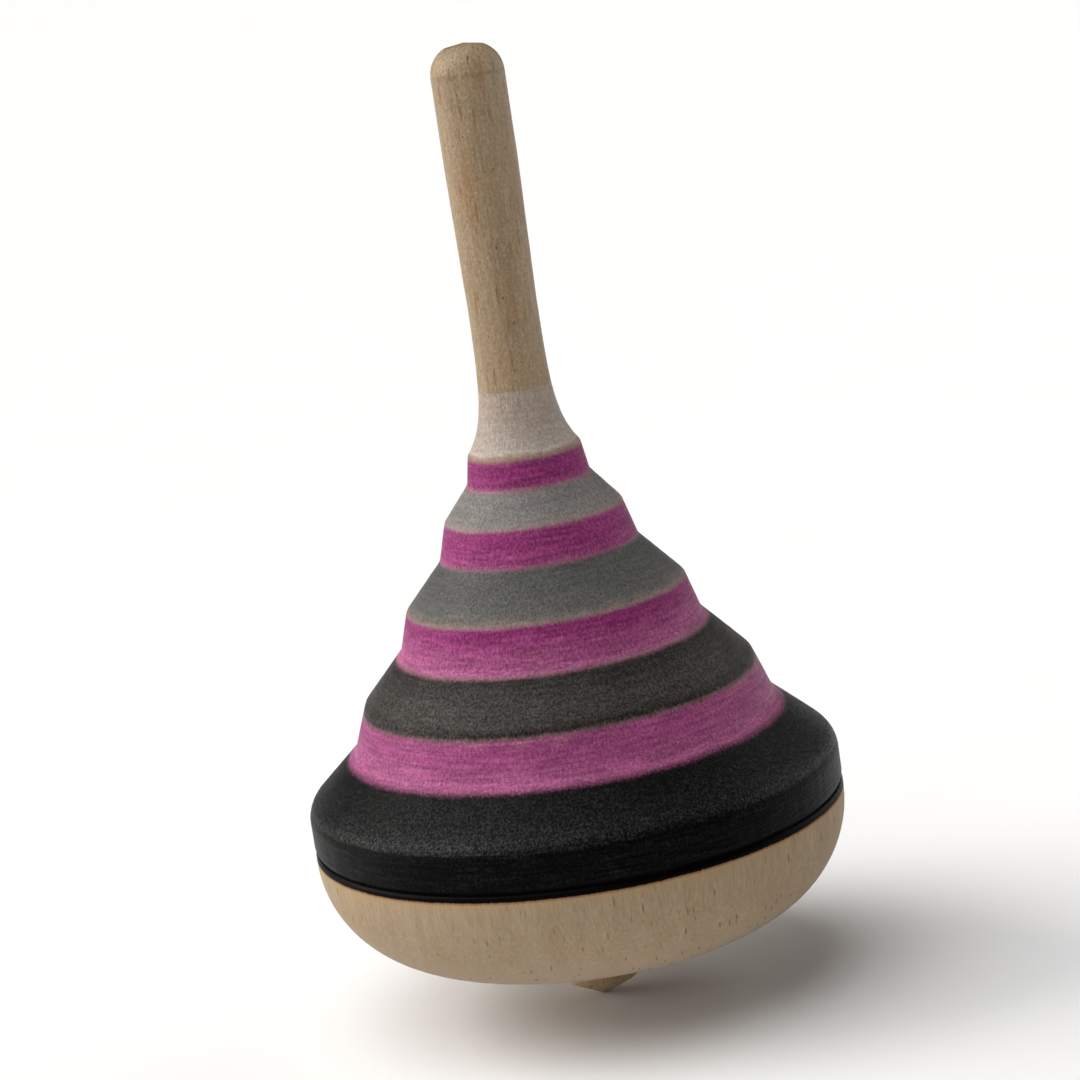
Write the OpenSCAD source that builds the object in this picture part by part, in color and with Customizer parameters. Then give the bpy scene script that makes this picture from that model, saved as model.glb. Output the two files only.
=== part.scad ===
// Long-handled wooden spinning top.
// Everything is turned about +Z, and the origin is the point that the top spins on.
// A 6 mm bore runs up through the base bowl and the painted bell. The handle's long tenon
// fills it from above and the tip peg's tenon from below, and all the joints are glued.

/* [Body] */
// Diameter of the widest part, the black wall and the rim of the bowl
body_d = 60; // [56:0.5:64]
// Height of the glue line between bowl and bell, above the tip
joint_h = 22.2; // [21.5:0.1:23]
// Depth of the burnt groove that hides the glue line
groove_depth = 0.3; // [0.2:0.1:1]
// Height of the groove, measured over both of its flanks
groove_h = 0.9; // [0.6:0.1:1.6]
// Diameter of the bore through bowl and bell
bore_d = 6; // [5:0.5:6.5]

/* [Black shoulder] */
// Height at which the black slope would meet the black wall if their edge were sharp
shoulder_h = 26.8; // [26.5:0.1:28]
// Radius that rounds the edge between the black wall and the black slope
shoulder_round = 2.8; // [0.5:0.1:3.2]

/* [Pink steps, from the lowest up] */
// Diameter at the foot of step 1
step1_foot_d = 47.6; // [46:0.1:50]
// Height of the foot of step 1
step1_foot_h = 32.4; // [31.5:0.1:33]
// Diameter at the top edge of step 1
step1_edge_d = 43.8; // [42:0.1:45]
// Height of the top edge of step 1
step1_edge_h = 37.6; // [36.5:0.1:38.5]
// Diameter at the foot of step 2
step2_foot_d = 34; // [33:0.1:36]
// Height of the foot of step 2
step2_foot_h = 42.9; // [42:0.1:44]
// Diameter at the top edge of step 2
step2_edge_d = 31.4; // [30:0.1:32.5]
// Height of the top edge of step 2
step2_edge_h = 47.3; // [46:0.1:48]
// Diameter at the foot of step 3
step3_foot_d = 22.4; // [21.5:0.1:24]
// Height of the foot of step 3
step3_foot_h = 52.3; // [51:0.1:53]
// Diameter at the top edge of step 3
step3_edge_d = 19.9; // [19:0.1:21]
// Height of the top edge of step 3
step3_edge_h = 56.7; // [55.5:0.1:57.5]
// Diameter at the foot of step 4
step4_foot_d = 13.7; // [13.2:0.1:15]
// Height of the foot of step 4
step4_foot_h = 60.5; // [59.5:0.1:61.5]
// Diameter at the top edge of step 4
step4_edge_d = 12.6; // [12:0.1:13.1]
// Height of the top edge of step 4
step4_edge_h = 63.8; // [63:0.1:65]

/* [Neck and handle] */
// Height of the seam where the handle's shoulder sits on the neck
seam_h = 70.7; // [69:0.1:74]
// Height over which the neck's flare shrinks to a third
neck_fade = 3.1; // [2.5:0.1:3.6]
// Diameter of the handle at its slim waist
waist_d = 7.6; // [7.2:0.1:8]
// Diameter of the straight grip near the handle's end
grip_d = 8.1; // [8:0.1:9]
// Height at which the straight grip starts
grip_start_h = 96; // [90:0.5:97]
// Height at which the grip gives way to the rounded end
grip_end_h = 105.1; // [104:0.1:105.6]
// Height of the whole top, from the tip to the handle's end
total_h = 108.5; // [107.8:0.1:109]
// Diameter of the small facet left on the handle's end
facet_d = 4.2; // [3:0.1:5]
// Height of the lower end of the handle's tenon, inside the bowl
tenon_end_h = 13.6; // [13:0.1:16]

/* [Base bowl] */
// Radius of the bowl's rounded side
bowl_round = 12.5; // [10:0.1:12.8]
// Height of the rim's straight part, below the groove
rim_h = 0.8; // [0.4:0.1:1]
// Slope of the underside, in degrees from level
underside_slope = 12; // [9:0.5:14]
// Diameter of the flat seat for the tip peg under the bowl
seat_d = 10; // [9:0.5:12]

/* [Tip peg] */
// Diameter of the peg's head
peg_d = 8.2; // [7.5:0.1:8.6]
// Slope of the cone under the head, in degrees from level
cone_slope = 29; // [26:1:38]
// Radius of the rounded point
point_round = 2.1; // [1:0.1:2.5]
// Height of the upper end of the peg's tenon, inside the bowl
peg_top_h = 12.4; // [10:0.1:12.6]

/* [Hidden] */
$fn = 96;
body_r = body_d / 2;
bore_r = bore_d / 2;
waist_r = waist_d / 2;
grip_r = grip_d / 2;
groove_r = body_r - groove_depth;
neck_foot_r = step4_edge_d / 2;
// The peg's and the handle's tenons are chamfered by this much, to start them in the bore.
tenon_chamfer = 0.5;
// Straight facets along a rounded side, a neck and a small round
side_steps = 20;
neck_steps = 12;
round_steps = 8;

// Points along an arc in the half-plane of radius and height; angles are in degrees from level.
function arc(centre_r, centre_h, radius, from, to, steps) =
    [for (i = [0:steps])
        let (a = from + (to - from) * i / steps)
        [centre_r + radius * cos(a), centre_h + radius * sin(a)]];

// Radius of the neck, and of the handle just above it, at a height: the flare dies away upwards.
function neck_r(h) = waist_r + (neck_foot_r - waist_r) * exp((step4_edge_h - h) / neck_fade);

// Slope of the black cone above the wall, in degrees from level, and its rounded lower edge
black_slope = atan2(step1_foot_h - shoulder_h, body_r - step1_foot_d / 2);
shoulder_start_h = shoulder_h - shoulder_round * tan((90 - black_slope) / 2);
shoulder = arc(body_r - shoulder_round, shoulder_start_h, shoulder_round, 0, 90 - black_slope, round_steps);

// The pink steps, each a foot and a top edge joined by a slightly leaning wall
steps = [
    [step1_foot_d / 2, step1_foot_h],
    [step1_edge_d / 2, step1_edge_h],
    [step2_foot_d / 2, step2_foot_h],
    [step2_edge_d / 2, step2_edge_h],
    [step3_foot_d / 2, step3_foot_h],
    [step3_edge_d / 2, step3_edge_h],
    [step4_foot_d / 2, step4_foot_h],
    [step4_edge_d / 2, step4_edge_h]
];

// The neck, from just above the highest step to the seam
neck = [for (i = [1:neck_steps])
    let (h = step4_edge_h + (seam_h - step4_edge_h) * i / neck_steps)
    [neck_r(h), h]];

// Rounded end of the handle, between the grip and the facet
end_round = total_h - grip_end_h;
facet_angle = acos((facet_d / 2 - grip_r + end_round) / end_round);

// The bowl's side is an arc from the rim down to where it has the underside's slope.
bowl_centre_r = body_r - bowl_round;
bowl_centre_h = joint_h - groove_h / 2 - rim_h;
bowl_side = arc(bowl_centre_r, bowl_centre_h, bowl_round, underside_slope - 90, 0, side_steps);
seat_h = bowl_side[0][1] - (bowl_side[0][0] - seat_d / 2) * tan(underside_slope);

// The point's arc ends where it has the cone's slope.
point_arc = arc(0, point_round, point_round, -90, cone_slope - 90, round_steps);
point_edge = point_arc[round_steps];
cone_top_h = point_edge[1] + (peg_d / 2 - point_edge[0]) * tan(cone_slope);

// Turned handle: waist, straight grip and rounded end, with the long tenon below its shoulder
module handle() {
    flare_h = seam_h + 3 * neck_fade;
    flare = [for (i = [0:neck_steps])
        let (h = seam_h + (flare_h - seam_h) * i / neck_steps)
        [neck_r(h), h]];
    rounded_end = arc(grip_r - end_round, grip_end_h, end_round, 0, facet_angle, round_steps);
    color([0.62, 0.52, 0.40])
    rotate_extrude()
    polygon(concat(
        [
            [0, tenon_end_h],
            [bore_r - tenon_chamfer, tenon_end_h],
            [bore_r, tenon_end_h + tenon_chamfer],
            [bore_r, seam_h]
        ],
        flare,
        [[grip_r, grip_start_h]],
        rounded_end,
        [[0, total_h]]
    ));
}

// Bell of the body: the black wall and slope, three more slopes, four steps and the white neck
module painted_bell() {
    color([0.55, 0.23, 0.42])
    difference() {
        rotate_extrude()
        polygon(concat(
            [
                [0, joint_h],
                [groove_r, joint_h],
                [body_r, joint_h + groove_h / 2]
            ],
            shoulder,
            steps,
            neck,
            [[0, seam_h]]
        ));
        bore();
    }
}

// Natural wood bowl under the bell
module base_bowl() {
    color([0.80, 0.70, 0.56])
    difference() {
        rotate_extrude()
        polygon(concat(
            [
                [0, seat_h],
                [seat_d / 2, seat_h]
            ],
            bowl_side,
            [
                [body_r, joint_h - groove_h / 2],
                [groove_r, joint_h],
                [0, joint_h]
            ]
        ));
        bore();
    }
}

// Peg that the top spins on: a short tenon, a round head and a blunt rounded cone
module tip_peg() {
    color([0.52, 0.42, 0.31])
    rotate_extrude()
    polygon(concat(
        point_arc,
        [
            [peg_d / 2, cone_top_h],
            [peg_d / 2, seat_h],
            [bore_r, seat_h],
            [bore_r, peg_top_h - tenon_chamfer],
            [bore_r - tenon_chamfer, peg_top_h],
            [0, peg_top_h]
        ]
    ));
}

// The bore drilled through both halves of the body in one pass
module bore() {
    overrun = 1;
    translate([0, 0, seat_h - overrun])
    cylinder(h = seam_h - seat_h + 2 * overrun, r = bore_r);
}

handle();
painted_bell();
base_bowl();
tip_peg();
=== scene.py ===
"""The looks of a long-handled wooden spinning top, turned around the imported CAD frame.

Each CAD node's outline is read back from its mesh, its corners are eased as sandpaper eases them,
and it is turned again as a fine mesh with tool rings and raised fibres. The stain bands, the bare
margins between them, the burnt groove and the grain are procedural.
"""

import math
from collections import namedtuple

import bpy
from mathutils import Matrix, Vector, noise


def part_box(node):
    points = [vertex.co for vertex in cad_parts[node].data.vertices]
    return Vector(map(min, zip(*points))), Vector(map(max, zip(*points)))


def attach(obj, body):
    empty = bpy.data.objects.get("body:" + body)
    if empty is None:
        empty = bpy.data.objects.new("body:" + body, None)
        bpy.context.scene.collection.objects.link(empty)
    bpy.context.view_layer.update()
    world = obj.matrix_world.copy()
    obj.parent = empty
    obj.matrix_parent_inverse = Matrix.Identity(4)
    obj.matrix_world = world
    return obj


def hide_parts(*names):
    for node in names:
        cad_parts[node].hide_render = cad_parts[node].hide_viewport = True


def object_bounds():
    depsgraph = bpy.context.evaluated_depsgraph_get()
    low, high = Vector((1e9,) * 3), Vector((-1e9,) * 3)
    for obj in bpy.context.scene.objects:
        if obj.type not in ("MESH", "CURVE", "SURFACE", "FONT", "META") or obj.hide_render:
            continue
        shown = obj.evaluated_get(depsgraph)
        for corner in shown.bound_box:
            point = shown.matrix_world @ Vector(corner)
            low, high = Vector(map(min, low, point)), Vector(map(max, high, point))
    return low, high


MM = 0.001
TAU = 2 * math.pi
# Points of an outline that are closer than this count as one point, in metres
NEAR = 0.01 * MM
# An outline that turns by more than this has a sharp corner, and not a facet of a curve
SHARP_TURN = math.radians(12)
# The steps up the bell, each with a foot and a top edge
STEPS = 4

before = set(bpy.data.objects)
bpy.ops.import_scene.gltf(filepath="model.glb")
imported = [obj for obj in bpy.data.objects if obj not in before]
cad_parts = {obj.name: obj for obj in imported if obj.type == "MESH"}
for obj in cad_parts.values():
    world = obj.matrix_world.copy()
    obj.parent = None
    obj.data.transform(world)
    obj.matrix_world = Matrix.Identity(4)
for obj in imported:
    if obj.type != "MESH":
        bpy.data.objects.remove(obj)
cad_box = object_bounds()


# ---------------------------------------------------------------- outlines from the frame


def node_points(node):
    """Radius and height of the points of a CAD node, in metres, from the lowest up."""
    kept = []
    found = {(math.hypot(v.co.x, v.co.y), v.co.z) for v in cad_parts[node].data.vertices}
    for point in sorted(found, key=lambda p: (round(p[1] / NEAR), p[0])):
        if all(math.dist(point, other) > 2 * NEAR for other in kept[-3:]):
            kept.append(point)
    return kept


def bore_radius():
    """Radius of the bore through the body: the smallest radius on the bell."""
    return min(r for r, z in node_points("painted_bell"))


def turn_angle(before, corner, after):
    """How sharply an outline turns at a corner, in radians."""
    heading_in = math.atan2(corner[1] - before[1], corner[0] - before[0])
    heading_out = math.atan2(after[1] - corner[1], after[0] - corner[0])
    return abs((heading_out - heading_in + math.pi) % TAU - math.pi)


def corner_heights(outline):
    """Heights at which an outline has a sharp corner."""
    triples = zip(outline, outline[1:], outline[2:])
    return [b[1] for a, b, c in triples if turn_angle(a, b, c) > SHARP_TURN]


def eased(outline, reach, steps=5):
    """The outline with each sharp corner rounded over a short reach on both sides of it."""
    result = [outline[0]]
    for a, b, c in zip(outline, outline[1:], outline[2:]):
        if turn_angle(a, b, c) < SHARP_TURN:
            result.append(b)
            continue
        a, b, c = Vector(a), Vector(b), Vector(c)
        cut = min(reach, 0.4 * (a - b).length, 0.4 * (c - b).length)
        start = b + (a - b).normalized() * cut
        end = b + (c - b).normalized() * cut
        for i in range(steps + 1):
            t = i / steps
            result.append(tuple(start * (1 - t) ** 2 + b * 2 * t * (1 - t) + end * t**2))
    result.append(outline[-1])
    return result


def resampled(outline, step):
    """The outline with points added so that none are more than a step apart."""
    result = [outline[0]]
    for a, b in zip(outline, outline[1:]):
        parts = max(1, math.ceil(math.dist(a, b) / step))
        for i in range(1, parts + 1):
            t = i / parts
            result.append((a[0] + (b[0] - a[0]) * t, a[1] + (b[1] - a[1]) * t))
    return result


# ---------------------------------------------------------------- turning a piece


def tool_rings(height, depth):
    """Fine rings that the turning tool and the sandpaper leave, as a change of radius."""
    coarse = noise.noise(Vector((0, 0, height / (0.9 * MM))))
    fine = noise.noise(Vector((7, 3, height / (0.35 * MM))))
    return depth * (0.6 * coarse + 0.4 * fine)


def raised_fibres(x, y, z, depth):
    """Grain that stands up on the surface: ridges along the axis of the top."""
    across, along = 0.55 * MM, 5 * MM
    ridge = noise.noise(Vector((x / across, y / across, z / along)))
    swell = noise.noise(Vector((x / (6 * MM), y / (6 * MM), z / (9 * MM))))
    return depth * (ridge + 0.8 * swell)


def turned(name, lead, outline, tail, segments, rings, fibres):
    """A closed piece turned about Z.

    Its points run over lead, outline and tail, and only the outline's surface is marked. rings and
    fibres are the depths of the marks. A piece that doesn't start on the axis closes on itself.
    """
    loop = [(r, z, 0) for r, z in lead] + [(r, z, 1) for r, z in outline]
    loop += [(r, z, 0) for r, z in tail]
    on_axis = 0.001 * MM
    crease = math.radians(40)
    rows, points, faces = [], [], []
    for r, z, marked in loop:
        if r < on_axis:
            rows.append([len(points)])
            points.append((0, 0, z))
            continue
        rows.append(list(range(len(points), len(points) + segments)))
        for k in range(segments):
            x, y = r * math.cos(TAU * k / segments), r * math.sin(TAU * k / segments)
            shift = 0
            if marked:
                shift = tool_rings(z, rings) + raised_fibres(x, y, z, fibres)
            points.append((x * (1 + shift / r), y * (1 + shift / r), z))
    pairs = list(zip(rows, rows[1:]))
    if len(rows[0]) > 1:
        pairs.append((rows[-1], rows[0]))
    for lower, upper in pairs:
        for k in range(segments):
            j = (k + 1) % segments
            if len(lower) == 1:
                faces.append((lower[0], upper[j], upper[k]))
            elif len(upper) == 1:
                faces.append((lower[k], lower[j], upper[0]))
            else:
                faces.append((lower[k], lower[j], upper[j], upper[k]))
    mesh = bpy.data.meshes.new(name)
    mesh.from_pydata(points, [], faces)
    mesh.polygons.foreach_set("use_smooth", [True] * len(faces))
    mesh.set_sharp_from_angle(angle=crease)
    piece = bpy.data.objects.new(name, mesh)
    bpy.context.scene.collection.objects.link(piece)
    return piece


def finished(piece, node, material):
    """Puts a turned piece in place of its CAD node, with its body and material."""
    piece.data.materials.append(material)
    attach(piece, "root")
    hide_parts(node)


# ---------------------------------------------------------------- node helpers


def put(tree, socket, value):
    """Sets an input to a number or colour, or links another node's output to it."""
    if isinstance(value, bpy.types.NodeSocket):
        tree.links.new(value, socket)
    elif socket.type == "RGBA":
        socket.default_value = (*value, 1)
    else:
        socket.default_value = value


def calc(tree, operation, *values):
    """The result of one Math node."""
    node = tree.nodes.new("ShaderNodeMath")
    node.operation = operation
    for socket, value in zip(node.inputs, values):
        put(tree, socket, value)
    return node.outputs[0]


def times(tree, first, second):
    """One value multiplied by another."""
    return calc(tree, "MULTIPLY", first, second)


def plus(tree, first, second):
    """One value added to another."""
    return calc(tree, "ADD", first, second)


def minus(tree, first, second):
    """One value less another."""
    return calc(tree, "SUBTRACT", first, second)


def mixed(tree, factor, below, above, blend="MIX"):
    """One colour over another by a factor. A Mix node's inputs 6 and 7 are its two colours."""
    node = tree.nodes.new("ShaderNodeMix")
    node.data_type = "RGBA"
    node.blend_type = blend
    put(tree, node.inputs[0], factor)
    put(tree, node.inputs[6], below)
    put(tree, node.inputs[7], above)
    return node.outputs[2]


def between(tree, value, low, high, start=0.0, end=1.0, eased_ends=True):
    """A value's place between two limits, eased or not, and carried over to another range."""
    node = tree.nodes.new("ShaderNodeMapRange")
    node.interpolation_type = "SMOOTHSTEP" if eased_ends else "LINEAR"
    for socket, number in zip(node.inputs, (value, low, high, start, end)):
        put(tree, socket, number)
    return node.outputs[0]


def ramp(tree, place, stops):
    """A colour that runs through stops, each a position from 0 to 1 and a colour."""
    node = tree.nodes.new("ShaderNodeValToRGB")
    put(tree, node.inputs[0], place)
    elements = node.color_ramp.elements
    for element, (position, colour) in zip(elements, (stops[0], stops[-1])):
        element.position, element.color = position, (*colour, 1)
    for position, colour in stops[1:-1]:
        elements.new(position).color = (*colour, 1)
    return node.outputs[0]


def tinted(tree, colour, factor, powers):
    """A colour made deeper or paler by a factor about 1, more in some channels than in others."""
    tint = tree.nodes.new("ShaderNodeCombineColor")
    for socket, power in zip(tint.inputs, powers):
        put(tree, socket, calc(tree, "POWER", factor, power))
    return mixed(tree, 1.0, colour, tint.outputs[0], "MULTIPLY")


def shaded(tree, colour, factor):
    """A colour made lighter or darker by a factor about 1."""
    grey = tree.nodes.new("ShaderNodeCombineColor")
    for socket in grey.inputs:
        put(tree, socket, factor)
    return mixed(tree, 1.0, colour, grey.outputs[0], "MULTIPLY")


def stretched(tree, across, depth, along, offset=0.0):
    """Object coordinates in units of a feature's size, in metres, along X, Y and Z.

    The offset moves the pattern, so that two patterns of one size don't fall on each other.
    """
    coordinates = tree.nodes.new("ShaderNodeTexCoord").outputs["Object"]
    mapping = tree.nodes.new("ShaderNodeMapping")
    put(tree, mapping.inputs["Vector"], coordinates)
    put(tree, mapping.inputs["Location"], (offset, offset, offset))
    put(tree, mapping.inputs["Scale"], (1 / across, 1 / depth, 1 / along))
    return mapping.outputs[0]


def clouds(tree, vector, detail=2.0, roughness=0.5):
    """Noise from 0 to 1 with features about one unit across."""
    node = tree.nodes.new("ShaderNodeTexNoise")
    put(tree, node.inputs["Vector"], vector)
    put(tree, node.inputs["Scale"], 1.0)
    put(tree, node.inputs["Detail"], detail)
    put(tree, node.inputs["Roughness"], roughness)
    return node.outputs["Fac"]


def dashes(tree, vector, share, size=0.3):
    """Scattered short marks, 1 inside and 0 outside, in a share of the cells."""
    cells = tree.nodes.new("ShaderNodeTexVoronoi")
    put(tree, cells.inputs["Vector"], vector)
    put(tree, cells.inputs["Scale"], 1.0)
    inside = between(tree, cells.outputs["Distance"], size, 0.4 * size)
    lot = tree.nodes.new("ShaderNodeSeparateColor")
    put(tree, lot.inputs[0], cells.outputs["Color"])
    return times(tree, inside, calc(tree, "LESS_THAN", lot.outputs[0], share))


def height_of_surface(tree):
    """Height above the tip, in metres."""
    coordinates = tree.nodes.new("ShaderNodeTexCoord").outputs["Object"]
    split = tree.nodes.new("ShaderNodeSeparateXYZ")
    put(tree, split.inputs[0], coordinates)
    return split.outputs["Z"]


def new_material(name, specular):
    """A material with its shader, ready for nodes."""
    material = bpy.data.materials.new(name)
    material.use_nodes = True
    tree = material.node_tree
    shader = tree.nodes["Principled BSDF"]
    shader.inputs["Specular IOR Level"].default_value = specular
    return material, tree, shader


def finish_material(tree, shader, colour, roughness, relief, depth):
    """Connects colour and roughness, and a bump of a real depth, in metres."""
    bump = tree.nodes.new("ShaderNodeBump")
    put(tree, bump.inputs["Strength"], 1.0)
    put(tree, bump.inputs["Distance"], depth)
    put(tree, bump.inputs["Height"], relief)
    tree.links.new(colour, shader.inputs["Base Color"])
    tree.links.new(roughness, shader.inputs["Roughness"])
    tree.links.new(bump.outputs[0], shader.inputs["Normal"])
    tree.links.new(bump.outputs[0], shader.inputs["Coat Normal"])


# ---------------------------------------------------------------- wood


def fibre_noise(tree, offset=0.0):
    """Fine fibres along the axis, from 0 to 1."""
    return clouds(tree, stretched(tree, 0.22 * MM, 0.22 * MM, 2.6 * MM, offset), 3, 0.6)


def speckle(tree, offset=0.0):
    """Specks a little longer along the axis than across it, from 0 to 1."""
    return clouds(tree, stretched(tree, 0.27 * MM, 0.27 * MM, 0.36 * MM, offset), 3, 0.75)


def flecks(tree, share):
    """Short ray flecks: thin dashes along the axis."""
    return dashes(tree, stretched(tree, 0.6 * MM, 2.4 * MM, 3.2 * MM, 9.0), share, 0.25)


def wood(tree, pale, dark, warm, coarse):
    """Wood with growth bands, soft warm patches, fine fibres, and specks of a given strength."""
    bands = clouds(tree, stretched(tree, 1.3 * MM, 3.5 * MM, 26 * MM), 3, 0.55)
    colour = mixed(tree, between(tree, bands, 0.3, 0.72), pale, dark)
    patches = clouds(tree, stretched(tree, 2.2 * MM, 2.2 * MM, 9 * MM, 4.0), 3, 0.55)
    colour = mixed(tree, between(tree, patches, 0.5, 0.72, 0, 0.8), colour, warm)
    colour = shaded(tree, colour, between(tree, fibre_noise(tree), 0.25, 0.75, 0.86, 1.12))
    grain = between(tree, speckle(tree, 3.0), 0.25, 0.75, 1 - coarse, 1 + 0.9 * coarse)
    return shaded(tree, colour, grain)


def pits(tree, share):
    """Pinholes and small nicks."""
    return dashes(tree, stretched(tree, 0.9 * MM, 0.9 * MM, 1.3 * MM, 2.0), share, 0.15)


def handle_material(cap_foot):
    """Brownish wood, sealed by many fingers, with reddish dashes, pale specks and pinholes.

    The rounded end above cap_foot is smoother, and painted a little paler as a painted highlight; a
    faint line runs round it.
    """
    material, tree, shader = new_material("handle_wood", 0.33)
    colour = wood(tree, (0.36, 0.258, 0.153), (0.30, 0.212, 0.124), (0.325, 0.19, 0.095), 0.27)
    streaks = dashes(tree, stretched(tree, 0.7 * MM, 1.6 * MM, 4.5 * MM, 7.0), 0.6, 0.32)
    colour = mixed(tree, times(tree, streaks, 0.6), colour, (0.27, 0.135, 0.055))
    nicks = pits(tree, 0.4)
    colour = mixed(tree, times(tree, nicks, 0.8), colour, (0.12, 0.05, 0.025))
    chips = dashes(tree, stretched(tree, 0.5 * MM, 0.5 * MM, 0.8 * MM, 5.0), 0.35, 0.3)
    colour = mixed(tree, times(tree, chips, 0.4), colour, (0.50, 0.41, 0.29))
    height = height_of_surface(tree)
    cap = between(tree, height, cap_foot, cap_foot + 0.6 * MM)
    ring = between(tree, height, cap_foot - 0.5 * MM, cap_foot)
    ring = minus(tree, ring, cap)
    colour = shaded(tree, colour, between(tree, ring, 0, 1, 1, 0.86))
    # Painted highlight: the rounded end is painted a little lighter than the grip.
    colour = shaded(tree, colour, between(tree, cap, 0, 1, 1, 1.06))
    rough = between(tree, fibre_noise(tree, 5.0), 0.2, 0.8, 0.4, 0.58)
    rough = minus(tree, rough, times(tree, cap, 0.2))
    relief = minus(tree, fibre_noise(tree), plus(tree, streaks, nicks))
    relief = plus(tree, relief, times(tree, speckle(tree, 3.0), 1.6))
    finish_material(tree, shader, colour, rough, relief, 0.08 * MM)
    return material


def bowl_material(groove_edge):
    """Pale wood with short dark ray flecks, greyer underneath, scorched under the burnt groove.

    The groove's lower flank is glazed by the burning, and the bottom of the groove is sooty.
    """
    material, tree, shader = new_material("bowl_wood", 0.03)
    colour = wood(tree, (0.375, 0.287, 0.192), (0.34, 0.255, 0.166), (0.36, 0.262, 0.152), 0.07)
    underneath = between(tree, height_of_surface(tree), 15 * MM, 9 * MM, 0, 0.7)
    colour = mixed(tree, underneath, colour, (0.365, 0.28, 0.212))
    marks = flecks(tree, 0.85)
    where = clouds(tree, stretched(tree, 9 * MM, 9 * MM, 12 * MM, 6.0), 1, 0.5)
    strength = between(tree, where, 0.35, 0.6, 0.25, 0.8)
    colour = mixed(tree, times(tree, marks, strength), colour, (0.20, 0.12, 0.05))
    height = ragged_height(tree, 0.1 * MM)
    char_edge = groove_edge - 0.36 * MM
    warmed = between(tree, height, char_edge - 1.6 * MM, char_edge, 0, 0.4)
    colour = mixed(tree, warmed, colour, (0.40, 0.25, 0.11))
    scorch = between(tree, height, char_edge - 0.35 * MM, char_edge, 0, 0.8)
    colour = mixed(tree, scorch, colour, (0.20, 0.085, 0.03))
    burnt = between(tree, height, char_edge - 0.06 * MM, char_edge + 0.06 * MM)
    colour = mixed(tree, burnt, colour, CHAR)
    glazed = between(tree, height_of_surface(tree), groove_edge - 0.1 * MM, groove_edge + 0.05 * MM)
    sooty = between(tree, height_of_surface(tree), groove_edge + 0.2 * MM, groove_edge + 0.35 * MM)
    rough = between(tree, sooty, 0, 1, between(tree, glazed, 0, 1, 0.5, 0.35), 1)
    relief = minus(tree, fibre_noise(tree), marks)
    finish_material(tree, shader, colour, rough, relief, 0.02 * MM)
    return material


def peg_material():
    """Brown wood, worn at the point, with painted light: paler than the handle's against the bowl's
    shade.
    """
    material, tree, shader = new_material("peg_wood", 0.35)
    # Painted light: the peg's wood is made paler than the handle's to offset the shade under the
    # bowl.
    colour = wood(tree, (0.58, 0.42, 0.26), (0.52, 0.37, 0.23), (0.55, 0.345, 0.20), 0.2)
    marks = flecks(tree, 0.35)
    colour = mixed(tree, times(tree, marks, 0.7), colour, (0.14, 0.07, 0.03))
    worn = between(tree, height_of_surface(tree), 1.2 * MM, 0.2 * MM, 0, 0.5)
    colour = mixed(tree, worn, colour, (0.48, 0.38, 0.25))
    rough = between(tree, fibre_noise(tree, 5.0), 0.2, 0.8, 0.4, 0.6)
    relief = minus(tree, fibre_noise(tree), marks)
    finish_material(tree, shader, colour, rough, relief, 0.02 * MM)
    return material


# ---------------------------------------------------------------- stain and char

CHAR = (0.0015, 0.001, 0.001)
# Half the height over which the edge of a stain fades
SOFT_EDGE = 0.45 * MM
# One ring of stain: its lower and upper height, in metres, the tones that it runs through, and
# how strongly its red, green and blue follow the specks in it, how strongly it follows the turning
# lines, and how far its tones wander up and down
Band = namedtuple("Band", "low high stops powers lines wander")


def ragged_height(tree, reach, offset=0.0):
    """Height with an edge that wanders, and frays along the fibres by about the reach."""
    threads = stretched(tree, 0.2 * MM, 0.2 * MM, 1.1 * MM, 12 + offset)
    wander = stretched(tree, 3.5 * MM, 3.5 * MM, 30 * MM, 15 + offset)
    fray = minus(tree, clouds(tree, threads, 2, 0.6), 0.5)
    drift = minus(tree, clouds(tree, wander, 1, 0.5), 0.5)
    shift = times(tree, fray, 2.4 * reach)
    height = plus(tree, height_of_surface(tree), shift)
    return plus(tree, height, times(tree, drift, 0.9 * reach))


def stained(tree, colour, lower_edge, upper_edge, band, specks, marks, drift):
    """Lays one band of stain over a colour. marks are its fibres and its turning lines."""
    place = between(tree, lower_edge, band.low, band.high, eased_ends=False)
    wandering = times(tree, drift, band.wander)
    tone = ramp(tree, plus(tree, place, wandering), band.stops)
    fibres, rings = marks
    tone = shaded(tree, tinted(tree, tone, specks, band.powers), fibres)
    tone = shaded(tree, tone, calc(tree, "POWER", rings, band.lines))
    above = between(tree, lower_edge, band.low - SOFT_EDGE, band.low + SOFT_EDGE)
    below = between(tree, upper_edge, band.high + SOFT_EDGE, band.high - SOFT_EDGE)
    return mixed(tree, times(tree, above, below), colour, tone)


def pink_stops(*depths):
    """Tones of the pink stain from its lower edge up, from 0, worn pale, to 1, full."""
    pale, full = Vector((0.318, 0.079, 0.190)), Vector((0.228, 0.029, 0.130))
    places = (0.13, 0.5, 0.8)
    return [(p, tuple(pale.lerp(full, depth))) for p, depth in zip(places, depths)]


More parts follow.
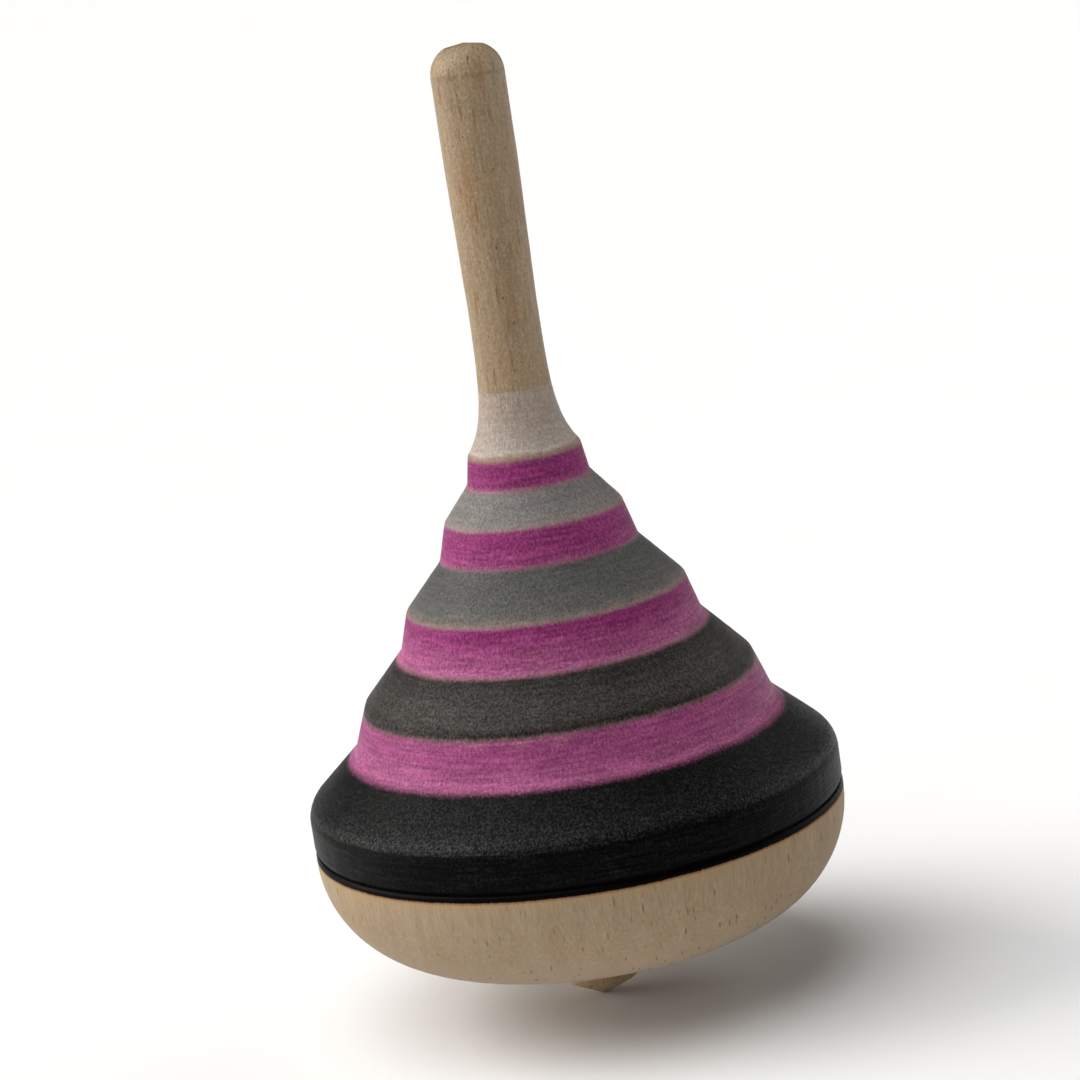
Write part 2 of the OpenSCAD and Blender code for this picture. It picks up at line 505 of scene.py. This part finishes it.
def bell_bands(corners, wall_top, top):
    """The bands from the lowest up, from the heights of the steps' feet and top edges.

    The wall's stain runs on under the slope's, so that no bare wood shows between them.
    """
    foot1, edge1, foot2, edge2, foot3, edge3, foot4, edge4 = corners
    pink, pale_pink, grey = (1.1, 2.4, 1.45), (0.9, 2.0, 1.2), (1.3, 1.3, 1.3)
    charcoal, black, pale_white = (2.9, 2.9, 2.9), (7, 7, 7), (0.8, 0.8, 0.8)
    wall = [(0, (0.0017, 0.0016, 0.0015)), (1, (0.0022, 0.0021, 0.0020))]
    # Painted sheen: the black slope is lighter and a little bluish at its lower edge, by the
    # shoulder.
    slope = [
        (0, (0.0058, 0.0058, 0.0061)), (0.36, (0.0044, 0.0044, 0.0045)),
        (0.77, (0.0026, 0.0026, 0.0026)), (0.86, (0.0026, 0.0014, 0.0016)),
        (1, (0.008, 0.003, 0.004)),
    ]
    dark = [
        (0, (0.055, 0.044, 0.038)), (0.07, (0.027, 0.022, 0.020)), (0.15, (0.037, 0.033, 0.030)),
        (0.38, (0.046, 0.041, 0.037)), (0.55, (0.043, 0.038, 0.035)),
        (0.78, (0.032, 0.029, 0.027)), (0.91, (0.029, 0.025, 0.023)), (0.97, (0.019, 0.015, 0.014)),
        (1, (0.032, 0.023, 0.021)),
    ]
    middle = [
        (0, (0.20, 0.155, 0.145)), (0.08, (0.150, 0.130, 0.116)), (0.22, (0.107, 0.103, 0.097)),
        (0.5, (0.094, 0.094, 0.090)), (1, (0.087, 0.086, 0.084)),
    ]
    light = [
        (0, (0.26, 0.215, 0.195)), (0.15, (0.215, 0.197, 0.184)), (0.3, (0.203, 0.188, 0.177)),
        (0.6, (0.19, 0.176, 0.168)), (1, (0.195, 0.177, 0.17)),
    ]
    # Painted highlight: just above the bare tan line at the neck's foot, the neck's stain has a
    # lighter line.
    white = [
        (0, (0.29, 0.175, 0.14)), (0.04, (0.335, 0.245, 0.195)), (0.08, (0.455, 0.39, 0.34)),
        (0.12, (0.40, 0.335, 0.29)), (0.57, (0.36, 0.292, 0.247)), (1, (0.375, 0.30, 0.236)),
    ]
    pale_top = [(0.91, (0.31, 0.085, 0.178)), (1, (0.33, 0.12, 0.195))]
    pink1 = pink_stops(-0.2, 0.3, 0.35) + pale_top
    pink2 = pink_stops(-0.1, 0.4, 0.95)
    pink3 = pink_stops(0.4, 0.85, 0.75)
    pink4 = pink_stops(0.6, 0.9, 0.8)
    return [
        Band(0, wall_top + 1.0 * MM, wall, black, 8, 1),
        Band(wall_top, foot1 - 0.2 * MM, slope, black, 3, 0.3),
        Band(foot1 - 0.75 * MM, edge1 - 0.68 * MM, pink1, pale_pink, 2, 1),
        Band(edge1 - 0.9 * MM, foot2 - 0.55 * MM, dark, charcoal, 1.8, 0.7),
        Band(foot2 - 0.6 * MM, edge2 + 0.05 * MM, pink2, pink, 2, 1),
        Band(edge2 + 0.05 * MM, foot3 + 0.35 * MM, middle, grey, 1, 0.5),
        Band(foot3 + 0.3 * MM, edge3, pink3, pink, 2, 1),
        Band(edge3, foot4 - 0.1 * MM, light, grey, 0.9, 0.6),
        Band(foot4 - 0.15 * MM, edge4 - 0.25 * MM, pink4, pink, 2, 1),
        Band(edge4 - 0.2 * MM, top, white, pale_white, 0.6, 0.1),
    ]


def bell_relief(tree, wall_end, slope_start, coarse, grain, turning, dots):
    """The bell's bump: mostly turning lines on the wall, and grain and fibres above it."""
    height = height_of_surface(tree)
    fibred = between(tree, height, wall_end, slope_start, 0.25, 1)
    turned_marks = between(tree, height, wall_end, slope_start, 2.5, 0.6)
    relief = times(tree, fibre_noise(tree, 20.0), fibred)
    relief = plus(tree, relief, times(tree, grain, 0.9))
    relief = plus(tree, relief, times(tree, turning, turned_marks))
    relief = minus(tree, relief, times(tree, dots, 0.5))
    return times(tree, relief, coarse)


def bell_polish(tree, foot, end, grain, fibres):
    """The weight of a thin polish that is strongest at the foot and fades to nothing at the end.

    Its light comes and goes with the grain and the fibres.
    """
    height = height_of_surface(tree)
    weight = between(tree, height, foot, end, 0.08, 0, eased_ends=False)
    foot_gloss = between(tree, height, foot, foot + 2.8 * MM, 2.1, 1)
    weight = times(tree, weight, foot_gloss)
    weight = times(tree, weight, between(tree, grain, 0.35, 0.65, 0.1, 2.0))
    return times(tree, weight, fibres)


def bell_material(bands, groove_top):
    """Wood under bands of stain, with bare margins between them and a burnt lower edge.

    The slopes have a thin polish, strongest on the black one. The wall and the neck have none.
    """
    material, tree, shader = new_material("stained_bell", 0.035)
    colour = wood(tree, (0.36, 0.265, 0.205), (0.31, 0.225, 0.17), (0.34, 0.24, 0.175), 0.2)
    lower_edge = ragged_height(tree, 0.24 * MM)
    upper_edge = ragged_height(tree, 0.24 * MM, 3.0)
    grain = speckle(tree, 30.0)
    patches = clouds(tree, stretched(tree, 2.5 * MM, 2.5 * MM, 2.5 * MM, 33.0), 3, 0.6)
    turning = clouds(tree, stretched(tree, 5 * MM, 5 * MM, 0.34 * MM, 36.0), 2, 0.6)
    dots = dashes(tree, stretched(tree, 0.36 * MM, 0.36 * MM, 0.4 * MM, 39.0), 0.4, 0.36)
    threads = dashes(tree, stretched(tree, 0.3 * MM, 0.3 * MM, 2 * MM, 42.0), 0.3, 0.3)
    drift = times(tree, minus(tree, patches, 0.5), 0.7)
    specks = between(tree, grain, 0.33, 0.67, 0.78, 1.2)
    specks = minus(tree, specks, times(tree, dots, 0.16))
    fibres = between(tree, fibre_noise(tree, 20.0), 0.25, 0.75, 0.88, 1.12)
    fibres = plus(tree, fibres, times(tree, threads, 0.28))
    marks = fibres, between(tree, turning, 0.25, 0.75, 0.88, 1.12)
    for band in bands:
        colour = stained(tree, colour, lower_edge, upper_edge, band, specks, marks, drift)
    burnt = between(tree, lower_edge, groove_top + 0.1 * MM, groove_top - 0.1 * MM)
    colour = mixed(tree, burnt, colour, CHAR)
    slope_foot, slope_top, neck_foot = bands[1].low, bands[1].high, bands[-1].low
    wall_end, slope_start = slope_foot - 0.2 * MM, slope_foot + 0.2 * MM
    coarse = between(tree, lower_edge, slope_top - 0.3 * MM, slope_top + 0.3 * MM, 1.3, 1)
    relief = bell_relief(tree, wall_end, slope_start, coarse, grain, turning, dots)
    above_wall = between(tree, height_of_surface(tree), wall_end, slope_start)
    polish = bell_polish(tree, slope_foot, neck_foot, grain, fibres)
    put(tree, shader.inputs["Coat Weight"], times(tree, above_wall, polish))
    shader.inputs["Coat Roughness"].default_value = 0.2
    rough = between(tree, above_wall, 0, 1, 0.37, 0.46)
    finish_material(tree, shader, colour, rough, relief, 0.06 * MM)
    return material


# ---------------------------------------------------------------- pieces


def split_at_bore(points, reached=lambda z: True):
    """The hidden points, at the bore's radius and a height that it reached, and the others."""
    hidden = [p for p in points if p[0] < bore_radius() + NEAR and reached(p[1])]
    return hidden, [p for p in points if p not in hidden]


def make_handle(seam):
    """The turned handle, with its tenon down inside the body."""
    points = node_points("handle")
    tenon, visible = split_at_bore(points, lambda z: z < seam + MM)
    widest = max(r for r, z in visible[len(visible) // 2 :])
    cap_foot = max(z for r, z in visible if r > widest - NEAR)
    outline = resampled(eased(visible, 0.3 * MM), 0.22 * MM)
    lead = [(0, tenon[0][1])] + tenon
    piece = turned(
        "turned_handle", lead, outline, [], segments=192, rings=0.012 * MM, fibres=0.02 * MM
    )
    finished(piece, "handle", handle_material(cap_foot))


def make_bell():
    """The body above the burnt groove."""
    bore, points = split_at_bore(node_points("painted_bell"))
    groove_top = points[1][1]
    step_corners = corner_heights(points)[-2 * STEPS :]
    rounding_start = points[2][1]
    wall_top = rounding_start + 1.0 * MM
    outline = resampled(eased(points, 0.3 * MM), 0.3 * MM)
    lead, tail = bore[:1], bore[-1:]
    piece = turned(
        "turned_bell", lead, outline, tail, segments=384, rings=0.014 * MM, fibres=0.03 * MM
    )
    bands = bell_bands(step_corners, wall_top, points[-1][1] + MM)
    finished(piece, "painted_bell", bell_material(bands, groove_top))


def make_bowl():
    """The natural wood body under the burnt groove."""
    bore, points = split_at_bore(node_points("base_bowl"))
    groove_edge = points[-2][1]
    outline = resampled(eased(points, 0.15 * MM), 0.3 * MM)
    lead, tail = bore[:1], bore[-1:]
    piece = turned(
        "turned_bowl", lead, outline, tail, segments=384, rings=0.01 * MM, fibres=0.015 * MM
    )
    finished(piece, "base_bowl", bowl_material(groove_edge))


def make_peg():
    """The peg under the bowl, down to the point that the top spins on."""
    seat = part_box("base_bowl")[0][2]
    tenon, visible = split_at_bore(node_points("tip_peg"), lambda z: z > seat - NEAR)
    outline = resampled(eased(visible, 0.3 * MM), 0.15 * MM)
    tail = tenon + [(0, tenon[-1][1])]
    piece = turned(
        "turned_peg", [], outline, tail, segments=128, rings=0.008 * MM, fibres=0.012 * MM
    )
    finished(piece, "tip_peg", peg_material())


# ---------------------------------------------------------------- studio


def paper_material(name, tone):
    """Matt paper with a very faint unevenness."""
    material, tree, shader = new_material(name, 0.1)
    specks = clouds(tree, stretched(tree, 30 * MM, 30 * MM, 30 * MM), 2, 0.5)
    colour = shaded(tree, (tone, tone, tone), between(tree, specks, 0, 1, 0.995, 1.005))
    rough = between(tree, specks, 0, 1, 0.85, 0.95)
    finish_material(tree, shader, colour, rough, specks, 0.01 * MM)
    return material


def make_floor(level):
    """A wide pale floor under the tip, which belongs to the studio and not to the object."""
    reach, tone = 40, 0.88
    corners = [(-reach, -reach), (reach, -reach), (reach, reach), (-reach, reach)]
    mesh = bpy.data.meshes.new("floor")
    mesh.from_pydata([(x, y, level) for x, y in corners], [], [(0, 1, 2, 3)])
    mesh.materials.append(paper_material("floor_paper", tone))
    floor = bpy.data.objects.new("floor", mesh)
    bpy.context.scene.collection.objects.link(floor)


def make_sun(name, azimuth, elevation, spread, strength, tone=(1, 1, 1)):
    """A broad soft light, the same everywhere. Azimuth is from the front, positive to the right."""
    data = bpy.data.lights.new(name, "SUN")
    data.energy = strength
    data.angle = math.radians(spread)
    data.color = tone
    sun = bpy.data.objects.new(name, data)
    a, e = math.radians(azimuth), math.radians(elevation)
    towards = Vector((math.sin(a) * math.cos(e), -math.cos(a) * math.cos(e), math.sin(e)))
    sun.rotation_euler = towards.to_track_quat("Z", "Y").to_euler()
    bpy.context.scene.collection.objects.link(sun)


def make_backdrop():
    """A white world behind everything, which adds hardly any light of its own."""
    world = bpy.data.worlds.new("studio")
    world.use_nodes = True
    tree = world.node_tree
    background = tree.nodes["Background"]
    seen = tree.nodes.new("ShaderNodeLightPath").outputs["Is Camera Ray"]
    put(tree, background.inputs["Color"], (1, 1, 1))
    put(tree, background.inputs["Strength"], between(tree, seen, 0, 1, 0.02, 1.0))
    bpy.context.scene.world = world


def make_studio():
    """Soft light from high on the left, a low window on the left, and a low one behind right."""
    warm = (1.0, 0.97, 0.93)
    make_sun("overhead", azimuth=-58, elevation=64, spread=70, strength=2.4)
    make_sun("window", azimuth=-104, elevation=28, spread=50, strength=2.5, tone=warm)
    make_sun("behind_right", azimuth=120, elevation=22, spread=50, strength=0.8)
    bpy.context.scene.view_settings.view_transform = "Standard"


def make_camera():
    """A camera at arm's reach, looking a little down, with the top leaning to the left."""
    distance, height = 340 * MM, 122 * MM
    look_down, roll, turn = 11.44, 8.57, 0.04
    data = bpy.data.cameras.new("camera")
    data.sensor_width = 36
    data.lens = 104.0
    data.clip_start = 0.01
    camera = bpy.data.objects.new("camera", data)
    heading = Matrix.Rotation(math.radians(-turn), 4, "Z")
    tilt = Matrix.Rotation(math.radians(90 - look_down), 4, "X")
    lean = Matrix.Rotation(math.radians(-roll), 4, "Z")
    place = Matrix.Translation((0, -distance, height))
    camera.matrix_world = place @ heading @ tilt @ lean
    bpy.context.scene.collection.objects.link(camera)
    bpy.context.scene.camera = camera


# ---------------------------------------------------------------- scene

make_handle(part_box("painted_bell")[1][2])
make_bell()
make_bowl()
make_peg()
make_floor(cad_box[0][2])
make_backdrop()
make_studio()
make_camera()
